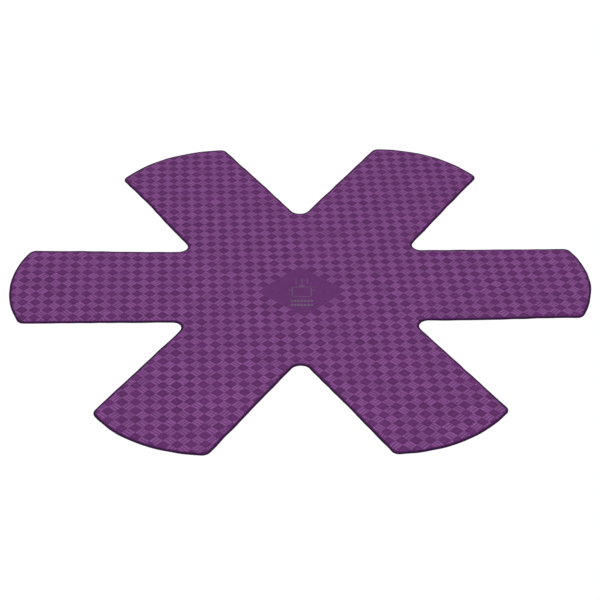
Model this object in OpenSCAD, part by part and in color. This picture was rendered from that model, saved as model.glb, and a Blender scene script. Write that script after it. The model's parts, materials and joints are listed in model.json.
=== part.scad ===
// Pan protector pad: a thin felt star with six equal arms, laid between stacked pans.
// Three plies lie on each other: a printed top face, a felt core and a plain bottom face.
// Each arm bends at two folds, one where it leaves the hub and one halfway along it.
// Origin: centre of the pad on its underside. +Z is up and +X runs along the first arm.

/* [Outline] */
// Distance from one arm's tip to the opposite arm's tip
span = 380; // [360:1:400]
// Width of each arm
arm_w = 81.6; // [74:0.1:84]
// Radius of the curve across each arm's tip
tip_r = 86; // [70:1:110]
// Radius of each rounded corner of a tip
tip_corner_r = 5.6; // [3:0.1:9]
// Radius of the rounded notch between two arms
notch_r = 6.5; // [4:0.1:9]

/* [Plies] */
// Thickness of each outer face sheet
face_t = 0.3; // [0.2:0.05:0.5]
// Thickness of the felt core
core_t = 1.4; // [1:0.1:2.4]

/* [Folds] */
// Distance from the centre to the fold where an arm leaves the hub
root_fold_x = 94; // [94:0.5:98]
// Distance from the centre to the fold halfway along an arm
mid_fold_x = 138; // [128:1:150]
// Clearance between the flat side and the round side of a fold
fold_gap = 0.3; // [0.2:0.05:0.5]

/* [Hidden] */
$fn = 96;
ARMS = [1, 2, 3, 4, 5, 6];
PLIES = ["top_face", "felt_core", "bottom_face"];
TOP = 0;
CORE = 1;
BOTTOM = 2;

// Each ply's underside and thickness, from the top face down
ply_z = [face_t + core_t, face_t, 0];
ply_t = [face_t, core_t, face_t];
PLY_COLOR = ["#6b3d70", "#5a3a62", "#4f2c58"];

arm_angle = 360 / len(ARMS);
half_w = arm_w / 2;
pad_t = core_t + 2 * face_t;

// A fold's round side is a nose of this radius about the fold's axis, at mid-thickness
nose_r = pad_t / 2;
flat_side = nose_r + fold_gap;
hub_reach = root_fold_x - flat_side;
root_end_x = mid_fold_x - flat_side;

// Centre of the tip's curve, and centre of the corner circle inside it
tip_centre_x = span / 2 - tip_r;
corner_y = half_w - tip_corner_r;
corner_x = tip_centre_x + sqrt(pow(tip_r - tip_corner_r, 2) - pow(corner_y, 2));

// The notch's curve touches the edges of both neighbouring arms, notch_x along each
notch_x = (half_w + notch_r) / tan(arm_angle / 2);
notch_turn = 180 - arm_angle;
notch_steps = 16;

function turned(p, angle) =
    [p[0] * cos(angle) - p[1] * sin(angle), p[0] * sin(angle) + p[1] * cos(angle)];

// One arm's share of the hub's outline: the end of its stub, then the notch that follows it
stub_points = [
    [hub_reach, -half_w],
    [hub_reach, half_w],
    for (k = [0 : notch_steps])
        let (a = -90 - notch_turn * k / notch_steps)
            [notch_x, half_w + notch_r] + notch_r * [cos(a), sin(a)]
];

// Outlines

// The hub: short stubs of the six arms, with a rounded notch between each two of them
module hub_outline() {
    polygon([for (arm = ARMS, p = stub_points) turned(p, (arm - 1) * arm_angle)]);
}

// The outer half of an arm, from its fold to its curved tip with rounded corners
module tip_outline() {
    corner = [corner_x - tip_centre_x, corner_y];
    beyond = 2 * corner;
    translate([mid_fold_x, -half_w]) square([corner_x - mid_fold_x, arm_w]);
    for (side = [-1, 1]) translate([corner_x, side * corner_y]) circle(tip_corner_r);
    translate([tip_centre_x, 0]) intersection() {
        circle(tip_r, $fn = 180);
        polygon([corner, beyond, [beyond[0], -beyond[1]], [corner[0], -corner[1]]]);
    }
}

// Solids

// One ply's share of the round nose at a fold
module nose(ply, fold_x) {
    bottom = ply_z[ply] - nose_r;
    translate([fold_x, 0, nose_r]) rotate([90, 0, 0]) linear_extrude(arm_w, center = true)
        intersection() {
            circle(nose_r);
            translate([-nose_r, bottom]) square([nose_r, ply_t[ply]]);
        }
}

module hub(ply) {
    translate([0, 0, ply_z[ply]]) linear_extrude(ply_t[ply]) hub_outline();
}

module arm_root(ply) {
    nose(ply, root_fold_x);
    translate([root_fold_x, -half_w, ply_z[ply]])
        cube([root_end_x - root_fold_x, arm_w, ply_t[ply]]);
}

module arm_tip(ply) {
    nose(ply, mid_fold_x);
    translate([0, 0, ply_z[ply]]) linear_extrude(ply_t[ply]) tip_outline();
}

// Sub-parts

module hub_sheet(ply) {
    color(PLY_COLOR[ply]) hub(ply);
}

module root_sheet(ply, arm) {
    color(PLY_COLOR[ply]) rotate((arm - 1) * arm_angle) arm_root(ply);
}

module tip_sheet(ply, arm) {
    color(PLY_COLOR[ply]) rotate((arm - 1) * arm_angle) arm_tip(ply);
}

for (ply = [TOP, CORE, BOTTOM]) {
    hub_sheet(ply);
    for (arm = ARMS) {
        root_sheet(ply, arm);
        tip_sheet(ply, arm);
    }
}
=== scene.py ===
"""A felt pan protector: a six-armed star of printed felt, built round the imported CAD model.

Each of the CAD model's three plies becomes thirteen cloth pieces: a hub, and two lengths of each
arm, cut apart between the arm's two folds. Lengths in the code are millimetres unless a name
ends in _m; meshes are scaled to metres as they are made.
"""

import json
import math

import bpy
import numpy as np
from mathutils import Matrix, Vector
from mathutils.geometry import delaunay_2d_cdt


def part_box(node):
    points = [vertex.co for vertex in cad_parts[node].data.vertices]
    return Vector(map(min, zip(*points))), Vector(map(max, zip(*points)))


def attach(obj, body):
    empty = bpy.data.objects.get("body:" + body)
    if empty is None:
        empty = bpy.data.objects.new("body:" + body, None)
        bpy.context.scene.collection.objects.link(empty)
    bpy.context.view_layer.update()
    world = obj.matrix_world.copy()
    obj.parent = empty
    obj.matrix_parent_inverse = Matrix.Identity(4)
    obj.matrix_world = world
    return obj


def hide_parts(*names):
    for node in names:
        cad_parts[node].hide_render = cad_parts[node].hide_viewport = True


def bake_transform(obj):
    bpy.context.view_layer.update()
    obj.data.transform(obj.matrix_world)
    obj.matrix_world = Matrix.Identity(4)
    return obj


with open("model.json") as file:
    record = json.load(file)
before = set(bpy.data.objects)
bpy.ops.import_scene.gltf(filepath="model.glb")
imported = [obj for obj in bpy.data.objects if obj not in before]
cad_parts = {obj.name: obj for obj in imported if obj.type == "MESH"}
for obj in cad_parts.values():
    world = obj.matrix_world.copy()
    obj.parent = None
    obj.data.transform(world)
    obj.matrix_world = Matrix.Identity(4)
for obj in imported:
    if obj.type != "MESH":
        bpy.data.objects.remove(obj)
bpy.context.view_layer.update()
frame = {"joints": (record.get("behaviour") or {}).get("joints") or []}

MM = 0.001

# Sizes that the frame gives

joints = {joint["name"]: joint for joint in frame["joints"]}
tip_low, tip_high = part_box("top_face_arm1_tip")
ARMS = range(1, 1 + sum(name.endswith("_root_fold") for name in joints))
ROOT_FOLD = joints["arm1_root_fold"]["pos_m"][0] / MM
MID_FOLD = joints["arm1_mid_fold"]["pos_m"][0] / MM
MIDDLE_Z = joints["arm1_root_fold"]["pos_m"][2] / MM
HALF_W = tip_high.y / MM
TIP_X = tip_high.x / MM
FACE_SHARE = 1 - tip_low.z / tip_high.z

# The outline's round stretches, as in the CAD model

TIP_R = 86
TIP_CORNER_R = 5.6
NOTCH_R = 6.5

ARM_STEP = 2 * math.pi / len(ARMS)
TIP_CENTRE = np.array([TIP_X - TIP_R, 0])
CORNER_Y = HALF_W - TIP_CORNER_R
CORNER_X = TIP_CENTRE[0] + math.sqrt((TIP_R - TIP_CORNER_R) ** 2 - CORNER_Y**2)
CORNER = np.array([CORNER_X, CORNER_Y])
TIP_ANGLE = math.atan2(CORNER_Y, CORNER_X - TIP_CENTRE[0])
NOTCH = np.array([(HALF_W + NOTCH_R) / math.tan(ARM_STEP / 2), HALF_W + NOTCH_R])
NOTCH_TURN = math.pi - ARM_STEP

# Each arm's cloth is cut outside the stretches that bend, half FOLD_REACH either side of a fold

FOLD_REACH = 10
ROOT_CUT = ROOT_FOLD - FOLD_REACH
MID_CUT = (ROOT_FOLD + MID_FOLD) / 2

# Mesh spacing

EDGE_STEP = 1.0
COARSE_STEP = 1.8
CELL_STEPS = 8
NOTCH_STEPS = 16
CORNER_STEPS = 8
RIM_DEPTHS = [0.05, 0.14, 0.27, 0.6, 1.3, 1.7, 2.2, 2.7, 3.2]
CUT_ROOM = 0.4

# The printed check: where one dark cell's middle is, and one step to the next cell either way

CHECK_MIDDLE = np.array([1.08, -8.22])
CHECK_A = np.array([3.880, 4.214])
CHECK_B = np.array([4.351, -4.076])
PLAIN_CELLS = 3.5

# Felt surface: height of the printed cells, unevenness of the felt, wander of the cut edge, bulge
# of its wall and the gap between two plies

PRINT_RISE = 0.05
UNEVEN = 0.035
EDGE_WANDER = 0.08
EDGE_BULGE = 0.05
PLY_GAP = 0.01

# How deep inside the edge the melted bead ends, and the pinch behind it

BEAD_ENDS = 1.3
PINCH_ENDS = 3.2

# The strength at which the table and the room beyond it come out white

WHITE = 1.02


def field(seed, wavelength, waves=24):
    """A smooth random height over the plan, about 1 high, that repeats in every run."""
    rng = np.random.default_rng(seed)
    angle, phase = rng.uniform(0, 2 * math.pi, (2, waves))
    number = 2 * math.pi / (wavelength * rng.uniform(0.7, 1.6, waves))
    wave = np.array([np.cos(angle), np.sin(angle)]) * number

    def height(points):
        return np.cos(points @ wave + phase).sum(1) * math.sqrt(2 / waves)

    return height


def smooth(value, low, high):
    t = np.clip((value - low) / (high - low), 0, 1)
    return t * t * (3 - 2 * t)


# The outline


def turned(points, angle):
    c, s = math.cos(angle), math.sin(angle)
    return points @ np.array([[c, s], [-s, c]])


def edge_depth(points):
    """How far inside the pad's outline each point is."""
    sector = np.round(np.arctan2(points[:, 1], points[:, 0]) / ARM_STEP)
    c, s = np.cos(sector * ARM_STEP), np.sin(sector * ARM_STEP)
    x = points[:, 0] * c + points[:, 1] * s
    y = np.abs(points[:, 1] * c - points[:, 0] * s)
    notch = np.hypot(x - NOTCH[0], y - NOTCH[1]) - NOTCH_R
    side = np.where(x < NOTCH[0], notch, HALF_W - y)
    tip = TIP_R - np.hypot(x - TIP_CENTRE[0], y)
    corner = TIP_CORNER_R - np.hypot(x - CORNER_X, y - CORNER_Y)
    past_corner = (x > CORNER_X) & (np.arctan2(y, x - TIP_CENTRE[0]) > TIP_ANGLE)
    return np.where(past_corner, corner, np.minimum(side, tip))


def inward(points, step=0.02):
    """The plan direction that leads away from the nearest edge."""
    dx = edge_depth(points + [step, 0]) - edge_depth(points - [step, 0])
    dy = edge_depth(points + [0, step]) - edge_depth(points - [0, step])
    return np.stack([dx, dy], 1) / (2 * step)


def line(start, end, step=EDGE_STEP):
    """Points from start to end, both included, about a step apart."""
    start, end = np.array(start, float), np.array(end, float)
    count = max(1, round(np.linalg.norm(end - start) / step))
    return start + (end - start) * np.linspace(0, 1, count + 1)[:, None]


def arc(centre, radius, start, end, count):
    angle = np.linspace(start, end, count + 1)
    return centre + radius * np.stack([np.cos(angle), np.sin(angle)], 1)


def tip_edge(depth):
    """The line at a depth inside an arm's outline, from the mid cut round the tip and back."""
    half = HALF_W - depth
    right = [
        line([MID_CUT, -half], [CORNER_X, -half])[:-1],
        arc(CORNER * [1, -1], TIP_CORNER_R - depth, -math.pi / 2, -TIP_ANGLE, CORNER_STEPS)[:-1],
    ]
    tip_steps = round(2 * TIP_ANGLE * TIP_R / EDGE_STEP)
    tip = arc(TIP_CENTRE, TIP_R - depth, -TIP_ANGLE, TIP_ANGLE, tip_steps)
    left = [points[::-1] * [1, -1] for points in reversed(right)]
    return np.vstack([*right, tip, *left])


def notch_edge(depth):
    """The line at a depth inside the notch after arm 1, from that arm's root cut to the next's."""
    centre_angle = -math.pi / 2
    curve = arc(NOTCH, NOTCH_R + depth, centre_angle, centre_angle - NOTCH_TURN, NOTCH_STEPS)
    first = [ROOT_CUT, HALF_W - depth]
    last = turned(np.array([[ROOT_CUT, depth - HALF_W]]), ARM_STEP)
    return np.vstack([first, curve, last])


def cut(x):
    """Points across an arm, with one on each of the rim's lines."""
    rim = HALF_W - np.array([0, *RIM_DEPTHS])
    cell = np.linalg.norm(CHECK_A) / CELL_STEPS
    middle = line([x, -rim[-1]], [x, rim[-1]], cell)[1:-1]
    column = np.full(len(rim), x)
    return np.vstack([np.stack([column, -rim], 1), middle, np.stack([column, rim], 1)[::-1]])


# Regions of the pad: each is a loop of points, the points inside it and the triangles over it


def fill(loop, inner):
    """The loop's and the inner points together, and the triangles over them."""
    points = np.vstack([loop, inner])
    edges = [(i, (i + 1) % len(loop)) for i in range(len(loop))]
    coords, _, faces, source, _, _ = delaunay_2d_cdt(
        [Vector(p) for p in points], edges, [], 1, 1e-7
    )
    if len(coords) != len(points):
        raise ValueError("two points of a region coincide")
    number = np.array([s[0] for s in source])
    return points, number[np.array(faces)]


def grid(origin, a, b, reach):
    """Every point origin + i·a + j·b that is deeper than the rim and within reach."""
    count = int(1.5 * reach / min(np.linalg.norm(a), np.linalg.norm(b)))
    i, j = np.meshgrid(np.arange(-count, count + 1), np.arange(-count, count + 1))
    points = origin + i.reshape(-1, 1) * a + j.reshape(-1, 1) * b
    margin = RIM_DEPTHS[-1] + 0.5 * np.linalg.norm(a)
    return points[edge_depth(points) > margin]


def stretch(points, angle, low, high):
    """Those of the points that lie between low and high along the arm at that angle."""
    local = turned(points, -angle)
    inside = (local[:, 0] > low + CUT_ROOM) & (local[:, 0] < high - CUT_ROOM)
    inside &= np.abs(local[:, 1]) < HALF_W
    return points[inside]


def hub_points(points):
    """Those of the points that lie inside all the root cuts."""
    inside = np.ones(len(points), bool)
    for arm in ARMS:
        inside &= turned(points, -(arm - 1) * ARM_STEP)[:, 0] < ROOT_CUT - CUT_ROOM
    return points[inside]


class Region:
    def __init__(self, loop, rims, fine, coarse):
        self.loop = loop
        self.rims = np.vstack(rims)
        self.fine = fill(loop, np.vstack([self.rims, fine]))
        self.coarse = fill(loop, np.vstack([self.rims, coarse]))

    def area(self):
        x, y = self.loop.T
        return 0.5 * abs(np.dot(x, np.roll(y, -1)) - np.dot(y, np.roll(x, -1)))


def root_region(angle, fine, coarse):
    def sides(depth):
        half = HALF_W - depth
        lower = line([ROOT_CUT, -half], [MID_CUT, -half])
        return lower, lower[::-1] * [1, -1]

    right, left = sides(0)
    loop = np.vstack([right[:-1], cut(MID_CUT)[:-1], left[:-1], cut(ROOT_CUT)[::-1][:-1]])
    rims = [side[1:-1] for depth in RIM_DEPTHS for side in sides(depth)]
    return Region(
        turned(loop, angle),
        [turned(rim, angle) for rim in rims],
        stretch(fine, angle, ROOT_CUT, MID_CUT),
        stretch(coarse, angle, ROOT_CUT, MID_CUT),
    )


def tip_region(angle, fine, coarse):
    loop = np.vstack([tip_edge(0)[:-1], cut(MID_CUT)[::-1][:-1]])
    return Region(
        turned(loop, angle),
        [turned(tip_edge(depth)[1:-1], angle) for depth in RIM_DEPTHS],
        stretch(fine, angle, MID_CUT, TIP_X),
        stretch(coarse, angle, MID_CUT, TIP_X),
    )


def hub_region(fine, coarse):
    sectors = [(arm - 1) * ARM_STEP for arm in ARMS]
    share = np.vstack([cut(ROOT_CUT)[:-1], notch_edge(0)[:-1]])
    loop = np.vstack([turned(share, angle) for angle in sectors])
    rims = [turned(notch_edge(d)[1:-1], angle) for angle in sectors for d in RIM_DEPTHS]
    return Region(loop, rims, hub_points(fine), hub_points(coarse))


# The pad's heights over the plan

coarse_bumps = field(11, 9)
fine_bumps = field(12, 2.6)
edge_waves = field(13, 14)
long_waves = field(14, 70)

# How far each arm's tip lifts off the table, and how much more its right-hand edge lifts
TIP_LIFT = {
    1: (0.5, 0.6),
    2: (0.2, 0.2),
    3: (0.4, -0.3),
    4: (1.0, 1.1),
    5: (0.1, -0.1),
    6: (0.1, 0.1),
}


def lift(points):
    """The pad's gentle warp: the hub lies flat and the arms lift a little towards their tips."""
    height = np.zeros(len(points))
    for arm, (rise, twist) in TIP_LIFT.items():
        local = turned(points, -(arm - 1) * ARM_STEP)
        along = smooth(local[:, 0], ROOT_CUT, TIP_X) * (np.abs(local[:, 1]) <= HALF_W + 1)
        height += along * (rise - twist * local[:, 1] / HALF_W + 0.25 * long_waves(points))
    return np.maximum(height, 0)


def rim_height(points, edge, bead, pinch_ends):
    """A face's height over the pad's middle, as a share of the full one.

    The hot cut rounds the edge's nose, fuses the felt behind it into a flat bead, and lets it
    swell to its full thickness further in."""
    nose = 0.3
    depth = edge_depth(points)
    rounded = np.sqrt(1 - (1 - np.clip(depth / nose, 0, 1)) ** 2)
    return edge + (bead - edge) * rounded + (1 - bead) * smooth(depth, BEAD_ENDS, pinch_ends)


def upper_face(points):
    return MIDDLE_Z * (1 + rim_height(points, edge=0.10, bead=0.38, pinch_ends=PINCH_ENDS))


def lower_face(points):
    return MIDDLE_Z * (1 - rim_height(points, edge=0.30, bead=0.58, pinch_ends=2.6))


def check_cells(points):
    """Each point's place on the check, in cells along its two directions."""
    return (points - CHECK_MIDDLE) @ np.linalg.inv(np.array([CHECK_A, CHECK_B]))


def printed_cells(points):
    """How far the print puffs up the check's cells, from 0 to 1, and 0 on the plain patch."""
    cells = check_cells(points)
    across = 2 * np.abs(cells - np.round(cells)).max(1)
    plain = (np.abs(cells) < PLAIN_CELLS).all(1)
    return np.where(plain, 0, 1 - across**6)


def within_rim(points):
    """0 on the rim and 1 on the felt inside it."""
    return smooth(edge_depth(points), BEAD_ENDS, PINCH_ENDS)


def top_surface(points):
    felt = PRINT_RISE * (printed_cells(points) - 0.5)
    felt += UNEVEN * (coarse_bumps(points) + 0.6 * fine_bumps(points))
    return upper_face(points) + felt * within_rim(points)


def bottom_surface(points):
    felt = UNEVEN * np.maximum(0, 1 + 0.6 * coarse_bumps(points + 500))
    return lower_face(points) + felt * within_rim(points)


def ply_border(share, gap=0):
    """The surface that lies a share of the way up through the pad, moved up by a gap."""

    def height(points):
        low, high = lower_face(points), upper_face(points)
        return low + (high - low) * share + gap

    return height


# Cloth pieces


def plan_places(points, outward):
    """Where the points lie once the cut edge wanders a little, some of them pushed outward."""
    depth = edge_depth(points)
    wander = EDGE_WANDER * (edge_waves(points) + 0.8 * long_waves(points))
    wander *= 1 - smooth(depth, 0, 3)
    return points + inward(points) * (wander - outward)[:, None]


def surface_normals(points, height, step=0.05):
    """The surface's own normals, or none within its steep rim, where the mesh's are better."""

    def z(p):
        return height(p) + lift(p)

    dx = (z(points + [step, 0]) - z(points - [step, 0])) / (2 * step)
    dy = (z(points + [0, step]) - z(points - [0, step])) / (2 * step)
    normals = np.stack([-dx, -dy, np.ones(len(points))], 1)
    normals /= np.linalg.norm(normals, axis=1)[:, None]
    steep_rim = 0.7
    normals[edge_depth(points) < steep_rim] = 0
    return normals


def cloth(name, region, upper, lower, printed=False):
    """One closed piece of a ply, between an upper and a lower surface."""
    top_points, top_faces = region.fine if printed else region.coarse
    low_points, low_faces = region.coarse
    loop = region.loop
    count = len(loop)
    on_edge = edge_depth(loop) < 0.001
    bulge = np.where(on_edge, EDGE_BULGE, 0)

    plan = np.vstack([top_points, loop, low_points])
    outward = np.concatenate([np.zeros(len(top_points)), bulge, np.zeros(len(low_points))])
    loop_z = (upper(loop) + lower(loop)) / 2
    rest_z = np.concatenate([upper(top_points), loop_z, lower(low_points)])
    placed = np.column_stack([plan_places(plan, outward), rest_z + lift(plan)])

    start_wall, start_low = len(top_points), len(top_points) + count
    here = np.arange(count)
    after = (here + 1) % count
    walls = [
        np.column_stack([b + here, b + after, t + after, t + here])
        for t, b in ((0, start_wall), (start_wall, start_low))
    ]
    faces = top_faces.tolist() + (low_faces[:, ::-1] + start_low).tolist()
    faces += np.vstack(walls).tolist()

    mesh = bpy.data.meshes.new(name)
    mesh.from_pydata((placed * MM).tolist(), [], faces)
    mesh.attributes.new("rest", "FLOAT_VECTOR", "POINT").data.foreach_set(
        "vector", (np.column_stack([plan, rest_z]) * MM).astype(np.float32).ravel()
    )
    mesh.attributes.new("edge", "FLOAT", "POINT").data.foreach_set(
        "value", edge_depth(plan).astype(np.float32)
    )

    # The cut ends stay sharp, so that the surfaces shade as one across a cut
    cut_end = ~on_edge | np.roll(~on_edge, 1) | np.roll(~on_edge, -1)
    at_cut = np.zeros(len(plan), bool)
    for start in (0, start_wall, start_low):
        at_cut[start : start + count] = cut_end
    pairs = np.zeros(2 * len(mesh.edges), np.int32)
    mesh.edges.foreach_get("vertices", pairs)
    sharp = at_cut[pairs.reshape(-1, 2)].all(1)
    mesh.attributes.new("sharp_edge", "BOOLEAN", "EDGE").data.foreach_set("value", sharp)
    if printed:
        normals = np.zeros((len(plan), 3))
        normals[: len(top_points)] = surface_normals(top_points, upper)
        corners = np.zeros((len(mesh.loops), 3))
        vertex = np.zeros(len(mesh.loops), np.int32)
        mesh.loops.foreach_get("vertex_index", vertex)
        in_top = np.arange(len(vertex)) < 3 * len(top_faces)
        corners[in_top] = normals[vertex[in_top]]
        mesh.normals_split_custom_set(corners.tolist())

    piece = bpy.data.objects.new(name, mesh)
    bpy.context.scene.collection.objects.link(piece)
    return piece


def fold_with(piece):
    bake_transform(piece)


# Materials


class Graph:
    """A material's nodes, made from expressions: a value is a number or another node's output."""

    def __init__(self, name):
        self.material = bpy.data.materials.new(name)
        self.material.use_nodes = True
        self.nodes = self.material.node_tree.nodes
        self.links = self.material.node_tree.links
        self.shader = self.nodes["Principled BSDF"]

    def node(self, kind, values=(), **settings):
        node = self.nodes.new("ShaderNode" + kind)
        for key, value in settings.items():
            setattr(node, key, value)
        for socket, value in dict(values).items():
            self.feed(node.inputs[socket], value)
        return node

    def feed(self, socket, value):
        if isinstance(value, bpy.types.NodeSocket):
            self.links.new(value, socket)
        else:
            socket.default_value = value

    def math(self, operation, *values):
        return self.node("Math", enumerate(values), operation=operation).outputs[0]

    def vector(self, operation, *values):
        node = self.node("VectorMath", operation=operation)
        for socket, value in zip(node.inputs, values):
            self.feed(socket, value)
        return node.outputs["Value" if operation == "DOT_PRODUCT" else "Vector"]

    def scaled(self, vector, factor):
        return self.node("VectorMath", {0: vector, "Scale": factor}, operation="SCALE").outputs[0]

    def chain(self, operation, values):
        result = values[0]
        for value in values[1:]:
            result = self.math(operation, result, value)
        return result

    def add(self, *values):
        return self.chain("ADD", values)

    def times(self, *values):
        return self.chain("MULTIPLY", values)

    def most(self, *values):
        return self.chain("MAXIMUM", values)

    def opposite(self, value):
        return self.math("SUBTRACT", 1.0, value)

    def ramp(self, value, low, high):
        """0 below low and 1 above high, smoothly between."""
        values = {"Value": value, "From Min": low, "From Max": high}
        return self.node("MapRange", values, interpolation_type="SMOOTHSTEP").outputs["Result"]

    def mix(self, factor, first, second):
        node = self.node("Mix", data_type="RGBA")
        self.feed(node.inputs["Factor"], factor)
        colours = [socket for socket in node.inputs if socket.type == "RGBA"]
        for socket, value in zip(colours, (first, second)):
            self.feed(socket, value)
        return next(socket for socket in node.outputs if socket.type == "RGBA")

    def noise(self, place, size, detail=2.0):
        """Noise about 0 to 1 whose lumps are about size millimetres across."""
        values = {"Vector": place, "Scale": 1 / (size * MM), "Detail": detail}
        return self.node("TexNoise", values).outputs["Fac"]

    def place_and_edge(self):
        """A point's place on the pad at rest, in metres, and its depth inside the edge."""
        rest, edge = (self.node("Attribute", attribute_name=name) for name in ("rest", "edge"))
        return rest.outputs["Vector"], edge.outputs["Fac"]

    def box(self, place, middle, half):
        """1 within a rectangle of the plan, given in millimetres, and 0 outside it."""
        soft_m = 0.15 * MM
        middle_m, half_m = ((x * MM, y * MM, 0.0) for x, y in (middle, half))
        off = self.vector("ABSOLUTE", self.vector("SUBTRACT", place, middle_m))
        past = self.node("SeparateXYZ", {0: self.vector("SUBTRACT", off, half_m)})
        reach = self.math("MAXIMUM", past.outputs["X"], past.outputs["Y"])
        return self.opposite(self.ramp(reach, -soft_m, soft_m))

    def finish(self, colour, roughness, height, bump_depth):
        bump = self.node("Bump", {"Height": height, "Strength": 1.0, "Distance": bump_depth * MM})
        self.feed(self.shader.inputs["Base Color"], colour)
        self.feed(self.shader.inputs["Roughness"], roughness)
        self.feed(self.shader.inputs["Normal"], bump.outputs["Normal"])
        self.shader.inputs["Specular IOR Level"].default_value = 0.10
        self.shader.inputs["Sheen Weight"].default_value = 0.06
        self.shader.inputs["Sheen Roughness"].default_value = 0.5
        self.shader.inputs["Sheen Tint"].default_value = (0.60, 0.34, 0.66, 1.0)
        return self.material


def paint(red, green, blue):
    """A colour given in screen values from 0 to 255, as the linear colour that shaders use."""
    share = np.array([red, green, blue]) / 255
    linear = np.where(share < 0.04045, share / 12.92, ((share + 0.055) / 1.055) ** 2.4)
    return (*linear.tolist(), 1.0)


def swayed(graph, place, size, reach):
    """The place, moved about by up to half of reach over distances of size."""
    values = {"Vector": place, "Scale": 1 / (size * MM), "Detail": 1.0}
    cloud = graph.node("TexNoise", values).outputs["Color"]
    sway = graph.vector("SUBTRACT", cloud, (0.5, 0.5, 0.5))
    return graph.vector("ADD", place, graph.scaled(sway, reach * MM))


def fibres(graph, place):
    """Matted fibres: long wavy crests that cross each other in four directions, from 0 to 1."""
    bent = swayed(graph, place, 4, 4)
    stretch_along = 7
    crests = []
    for turn, size in ((0.3, 0.50), (1.1, 0.40), (1.9, 0.34), (2.7, 0.45)):
        c, s = math.cos(turn), math.sin(turn)
        along = graph.vector("DOT_PRODUCT", bent, (c / stretch_along, s / stretch_along, 0.0))
        across = graph.vector("DOT_PRODUCT", bent, (-s, c, 0.0))
        lane = graph.node("CombineXYZ", {"X": along, "Y": across, "Z": turn}).outputs[0]
        off_middle = graph.math("SUBTRACT", graph.noise(lane, size, 1.0), 0.5)
        crests.append(graph.opposite(graph.ramp(graph.math("ABSOLUTE", off_middle), 0.0, 0.05)))
    return graph.most(*crests)


def ragged_edge_band(graph, edge, place, low, high):
    """1 at the hot-cut edge and 0 on the felt, between two ragged depths inside the edge."""
    ragged = graph.math("SUBTRACT", graph.noise(place, 1.2), 0.5)
    return graph.opposite(graph.ramp(graph.add(edge, ragged), low, high))


def rimmed_with_painted_edge_shade(graph, colour, edge, place):
    """The colour, with a darker singed band and a still darker melted bead along the hot-cut edge:
    partly the heat-sealed edge's own colour, partly painted shade of the edge wall.
    """
    # Painted shade: both dark bands stand in for the shaded edge wall, on top of the heat-sealed
    # edge's own darker felt
    singed_and_shaded = graph.mix(ragged_edge_band(graph, edge, place, 1.0, 2.0), colour, paint(72, 24, 80))
    return graph.mix(ragged_edge_band(graph, edge, place, 0.8, 1.4), singed_and_shaded, paint(44, 8, 54))


def check_print(graph, place):
    """The check's colour, with painted shade at the dark cells' borders, and how far up its
    hatching stands, from 0 to 1.
    """
    inked = swayed(graph, swayed(graph, place, 2.5, 0.4), 0.5, 0.25)
    inverse = np.linalg.inv(np.array([CHECK_A, CHECK_B])) / MM
    start = CHECK_MIDDLE * MM @ inverse
    cells = [
        graph.math("SUBTRACT", graph.vector("DOT_PRODUCT", inked, (*inverse[:, k], 0.0)), start[k])
        for k in (0, 1)
    ]
    whole = [graph.math("ROUND", cell) for cell in cells]
    part = [graph.math("SUBTRACT", cell, near) for cell, near in zip(cells, whole)]
    off_middle = graph.most(*[graph.math("ABSOLUTE", value) for value in part])
    border = graph.times(off_middle, 2.0)
    odd = graph.math("ABSOLUTE", graph.math("MODULO", graph.add(*whole), 2.0))
    in_patch = graph.times(
        *[graph.math("LESS_THAN", graph.math("ABSOLUTE", cell), PLAIN_CELLS) for cell in cells]
    )
    dark = graph.times(graph.opposite(odd), graph.opposite(graph.ramp(border, 0.87, 0.97)))
    dark = graph.most(dark, in_patch)

    # The hatching runs one way on every other light cell and the other way on the rest
    crosswise = graph.math("ABSOLUTE", graph.math("MODULO", whole[0], 2.0))
    hatch_place = graph.add(
        graph.times(part[0], crosswise), graph.times(part[1], graph.opposite(crosswise))
    )
    lines_per_cell = 3
    wave = graph.math("COSINE", graph.times(hatch_place, 2 * math.pi * lines_per_cell))
    uneven_ink = graph.times(graph.math("SUBTRACT", graph.noise(place, 3.0), 0.5), 1.8)
    plain_ground = graph.times(graph.opposite(odd), 0.5)
    lines = graph.ramp(graph.add(wave, uneven_ink), -0.5, 0.8)
    hatch = graph.add(graph.times(lines, odd), plain_ground)

    # Each cell took up a little more or less ink
    cell_number = graph.node("CombineXYZ", {"X": whole[0], "Y": whole[1]}).outputs[0]
    random_share = graph.node("TexWhiteNoise", {"Vector": cell_number}).outputs["Value"]
    in_cells = graph.times(random_share, 0.18, graph.opposite(in_patch))
    taken = graph.add(0.90, in_cells, graph.times(in_patch, 0.09))

    # Painted shade: the dark cells' ink darkens towards their borders, where the grooves between
    # the puffed-up cells lie
    dark_ink_with_groove_shade = graph.mix(graph.ramp(border, 0.2, 0.7), paint(99, 47, 105), paint(92, 41, 98))
    dark_ink_with_groove_shade = graph.mix(in_patch, dark_ink_with_groove_shade, paint(98, 48, 105))
    ground = graph.mix(hatch, paint(107, 56, 113), paint(134, 81, 141))
    colour = graph.scaled(graph.mix(dark, ground, dark_ink_with_groove_shade), taken)
    return colour, graph.times(hatch, graph.opposite(dark))


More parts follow.
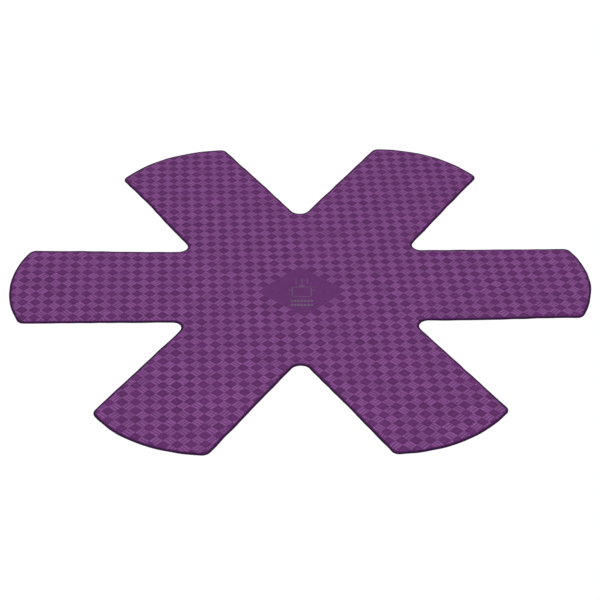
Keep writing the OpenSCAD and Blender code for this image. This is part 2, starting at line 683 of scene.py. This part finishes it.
def care_mark(graph, place):
    """A care mark on the plain patch, from 0 to 1: a steaming pot over two rows of dashes."""
    x, base = 1.1, -14.6
    pen, faint = 0.40, 0.70
    strokes = [
        ((x, base), (5.6, pen)),
        ((x - 6.2, base + 5.2), (pen, 5.0)),
        ((x + 6.2, base + 5.2), (pen, 5.0)),
        ((x - 7.7, base + 7.6), (1.3, pen)),
        ((x + 7.7, base + 7.6), (1.3, pen)),
        ((x, base + 11.0), (7.2, pen)),
        ((x, base + 12.6), (1.6, 1.0)),
        *[((x + shift, base + 18.2), (pen, 2.8)) for shift in (-3.6, 0, 3.6)],
    ]
    pot = graph.most(*[graph.box(place, middle, half) for middle, half in strokes])

    dash = 2.17
    across = graph.vector("DOT_PRODUCT", place, (1 / (dash * MM), 0.0, 0.0))
    gap = graph.math("PINGPONG", graph.math("SUBTRACT", across, x / dash), 0.5)
    gap = graph.ramp(gap, 0.34, 0.42)
    rows = graph.most(*[graph.box(place, (x, y), (7.6, 1.15)) for y in (-19.4, -24.0)])
    return graph.most(graph.times(pot, faint), graph.times(rows, graph.opposite(gap)))


def bead_and_roughness(graph, edge, place):
    """Where the melted bead is, from 0 to 1, and the roughness, which is less on it."""
    bead = ragged_edge_band(graph, edge, place, 0.8, 1.5)
    return bead, graph.math("SUBTRACT", 0.95, graph.times(bead, 0.25))


def printed_felt():
    graph = Graph("printed_felt")
    place, edge = graph.place_and_edge()
    fibre = fibres(graph, place)
    colour, hatch = check_print(graph, place)
    colour = graph.mix(graph.times(care_mark(graph, place), 0.42), colour, paint(118, 116, 123))

    # The print is fainter near the edge, and fibres and slow mottling break it up
    faded = graph.times(ragged_edge_band(graph, edge, place, 1.5, 4.0), 0.15)
    colour = graph.mix(faded, colour, paint(106, 52, 114))
    mottling = graph.times(graph.noise(place, 7.0, 3.0), 0.20)
    clumps = graph.times(graph.noise(place, 1.5, 3.0), 0.40)
    shade = graph.add(0.565, graph.times(fibre, 0.28), mottling, clumps)
    # The dark band along the cut edge is partly the heat-sealed edge and partly painted shade of
    # the edge wall
    colour = rimmed_with_painted_edge_shade(graph, graph.scaled(colour, shade), edge, place)

    bead, roughness = bead_and_roughness(graph, edge, place)
    fuzz = graph.times(graph.noise(place, 0.25), 0.5)
    relief = graph.add(graph.times(fibre, 0.8), fuzz, graph.times(hatch, 0.3))
    height = graph.times(relief, graph.opposite(graph.times(bead, 0.7)))
    return graph.finish(colour, roughness, height, 0.09)


def plain_felt():
    graph = Graph("plain_felt")
    place, edge = graph.place_and_edge()
    fibre = fibres(graph, place)
    colour = graph.mix(graph.noise(place, 5.0, 4.0), paint(88, 40, 95), paint(110, 60, 116))
    colour = graph.mix(graph.times(fibre, 0.5), colour, paint(126, 74, 131))
    # The dark band along the cut edge is partly the heat-sealed edge and partly painted shade of
    # the edge wall
    colour = rimmed_with_painted_edge_shade(graph, colour, edge, place)
    _, roughness = bead_and_roughness(graph, edge, place)
    height = graph.add(graph.times(fibre, 0.7), graph.times(graph.noise(place, 0.8), 1.2))
    return graph.finish(colour, roughness, height, 0.07)


def fused_wadding():
    graph = Graph("fused_wadding")
    place, _ = graph.place_and_edge()
    layers = graph.noise(graph.vector("MULTIPLY", place, (1.0, 1.0, 6.0)), 0.5, 3.0)
    colour = graph.mix(layers, paint(36, 9, 45), paint(66, 25, 74))
    return graph.finish(colour, 0.75, layers, 0.08)


# Building the pad

REACH = TIP_X + 5
fine_grid = grid(CHECK_MIDDLE, CHECK_A / CELL_STEPS, CHECK_B / CELL_STEPS, REACH)
coarse_grid = grid(
    np.zeros(2), COARSE_STEP * np.array([1, 0]), COARSE_STEP * np.array([0.5, 0.866]), REACH
)

# Each ply's material slot, its material, and its upper and lower surfaces
PLIES = {
    "top_face": ("printed_face", printed_felt(), top_surface, ply_border(1 - FACE_SHARE, PLY_GAP)),
    "felt_core": ("felt_core", fused_wadding(), ply_border(1 - FACE_SHARE), ply_border(FACE_SHARE)),
    "bottom_face": ("plain_face", plain_felt(), ply_border(FACE_SHARE, -PLY_GAP), bottom_surface),
}


def plies_over(region, where):
    """The three plies' pieces over one region, which stand for the CAD nodes of that name."""
    made = []
    for ply, (slot, material, upper, lower) in PLIES.items():
        piece = cloth(f"{ply}_cloth_{where}", region, upper, lower, printed=ply == "top_face")
        piece.data.materials.append(material)
        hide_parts(f"{ply}_{where}")
        made.append(piece)
    return made


def declare(pieces, region, width, length):
    """Works out a region's sheet size and area and keeps none of it; each face is a sheet that was
    cut to this size, and the core is the padding between them.
    """
    size = {"flat": (width * MM, length * MM), "held": "laid", "area": region.area() * MM**2}


hub = hub_region(fine_grid, coarse_grid)
hub_pieces = plies_over(hub, "hub")
for piece in hub_pieces:
    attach(piece, "hub")
hub_across = np.ptp(hub.loop, axis=0)
declare(hub_pieces, hub, *hub_across)

for arm in ARMS:
    angle = (arm - 1) * ARM_STEP
    root_body, tip_body = f"arm{arm}_root", f"arm{arm}_tip"

    root = root_region(angle, fine_grid, coarse_grid)
    root_pieces = plies_over(root, root_body)
    for piece in root_pieces:
        fold_with(piece)
    declare(root_pieces, root, 2 * HALF_W, MID_CUT - ROOT_CUT)

    tip = tip_region(angle, fine_grid, coarse_grid)
    tip_pieces = plies_over(tip, tip_body)
    for piece in tip_pieces:
        fold_with(piece)
    declare(tip_pieces, tip, 2 * HALF_W, TIP_X - MID_CUT)


# Floor, light and camera


def make_floor():
    """A lit white table, far enough down for the arms to hang clear of it in every pose."""
    half_m, drop_m = 20, 0.12
    corners = [(x * half_m, y * half_m, -drop_m) for x, y in ((-1, -1), (1, -1), (1, 1), (-1, 1))]
    mesh = bpy.data.meshes.new("floor")
    mesh.from_pydata(corners, [], [(0, 1, 2, 3)])
    material = bpy.data.materials.new("floor_white")
    material.use_nodes = True
    nodes, links = material.node_tree.nodes, material.node_tree.links
    nodes.remove(nodes["Principled BSDF"])

    # The table is seen through from below
    see_through = nodes.new("ShaderNodeMixShader")
    links.new(nodes.new("ShaderNodeNewGeometry").outputs["Backfacing"], see_through.inputs[0])
    glow = nodes.new("ShaderNodeEmission")
    glow.inputs["Strength"].default_value = WHITE
    links.new(glow.outputs[0], see_through.inputs[1])
    links.new(nodes.new("ShaderNodeBsdfTransparent").outputs[0], see_through.inputs[2])
    links.new(see_through.outputs[0], nodes["Material Output"].inputs["Surface"])
    mesh.materials.append(material)
    floor = bpy.data.objects.new("floor", mesh)
    bpy.context.scene.collection.objects.link(floor)


def make_light():
    """A large softbox overhead, in a white room that looks brighter than the light it gives."""
    world = bpy.data.worlds.new("studio")
    bpy.context.scene.world = world
    world.use_nodes = True
    nodes, links = world.node_tree.nodes, world.node_tree.links
    nodes["Background"].inputs["Color"].default_value = (1, 1, 1, 1)
    seen = nodes.new("ShaderNodeMapRange")
    seen.inputs["To Min"].default_value = 0.55
    seen.inputs["To Max"].default_value = WHITE
    links.new(nodes.new("ShaderNodeLightPath").outputs["Is Camera Ray"], seen.inputs["Value"])
    links.new(seen.outputs["Result"], nodes["Background"].inputs["Strength"])
    lamp = bpy.data.lights.new("softbox", "AREA")
    lamp.shape = "DISK"
    lamp.size = 1.0
    lamp.energy = 15
    softbox = bpy.data.objects.new("softbox", lamp)
    softbox.location = (0.1, -0.45, 1.5)
    softbox.rotation_mode = "QUATERNION"
    softbox.rotation_quaternion = (-softbox.location).to_track_quat("-Z", "Y")
    bpy.context.scene.collection.objects.link(softbox)


def make_camera():
    """A long lens, from the front and about a third of the way up."""
    azimuth, elevation, roll = (math.radians(angle) for angle in (0.136, 34.50, -0.501))
    aim, distance_m = Vector((-0.0001, -0.0155, 0.0)), 1.28335
    back = Vector(
        (
            math.sin(azimuth) * math.cos(elevation),
            -math.cos(azimuth) * math.cos(elevation),
            math.sin(elevation),
        )
    )
    level = Vector((math.cos(azimuth), math.sin(azimuth), 0))
    rise = back.cross(level)
    right = level * math.cos(roll) + rise * math.sin(roll)
    camera = bpy.data.objects.new("camera", bpy.data.cameras.new("camera"))
    camera.data.lens = 118.70
    camera.data.sensor_width = 36
    turn = Matrix((right, back.cross(right), back)).transposed().to_4x4()
    camera.matrix_world = Matrix.Translation(aim + back * distance_m) @ turn
    bpy.context.scene.collection.objects.link(camera)
    bpy.context.scene.camera = camera


make_floor()
make_light()
make_camera()
bpy.context.scene.view_settings.view_transform = "Standard"
